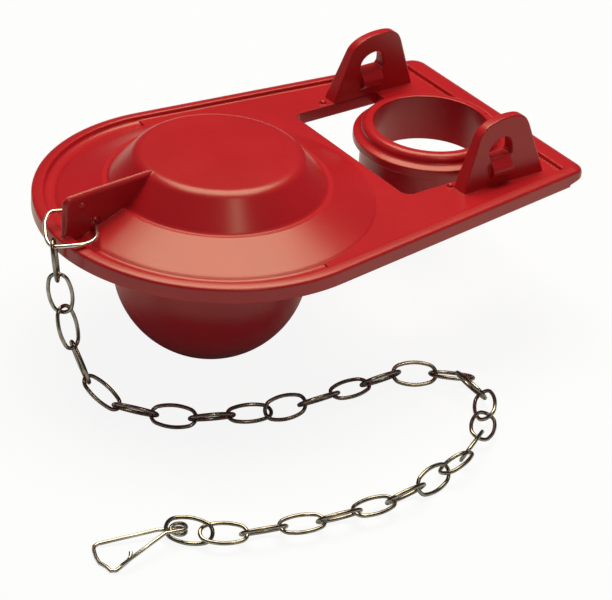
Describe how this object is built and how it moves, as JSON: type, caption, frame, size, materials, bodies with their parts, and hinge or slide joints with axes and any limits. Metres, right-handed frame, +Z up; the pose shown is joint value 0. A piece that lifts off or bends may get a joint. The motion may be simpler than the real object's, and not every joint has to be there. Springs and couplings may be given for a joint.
{
  "type": "toilet flapper",
  "caption": "Soft rubber flush valve flapper with a hollow bulb, tube collar and ears, and a lift chain of oval wire links that ends in a wire clip.",
  "frame": {"origin": "centre of the sealing circle, on the flat underside that meets the valve seat", "axes": "+Z up through the hat; +X towards the collar and the ears; -X towards the arm and the ring"},
  "size_m": [0.1615, 0.1289, 0.0599],
  "materials": {
    "rubber": "semi-gloss",
    "ring_wire": "bright",
    "chain_wire": "bright, dark tone",
    "clip_wire": "bright"
  },
  "bodies": {
    "root": {"flapper": "rubber", "ring": "ring_wire", "link_01": "chain_wire", "link_02": "chain_wire", "link_03": "chain_wire", "link_04": "chain_wire", "link_05": "chain_wire", "link_06": "chain_wire", "link_07": "chain_wire", "link_08": "chain_wire", "link_09": "chain_wire", "link_10": "chain_wire", "link_11": "chain_wire", "link_12": "chain_wire", "link_13": "chain_wire", "link_14": "chain_wire", "link_15": "chain_wire", "link_16": "chain_wire", "link_17": "chain_wire", "link_18": "chain_wire", "link_19": "chain_wire", "link_20": "chain_wire", "link_21": "chain_wire", "link_22": "chain_wire", "link_23": "chain_wire", "link_24": "chain_wire", "link_25": "chain_wire", "link_26": "chain_wire", "link_27": "chain_wire", "link_28": "chain_wire", "clip": "clip_wire"}
  },
  "joints": []
}
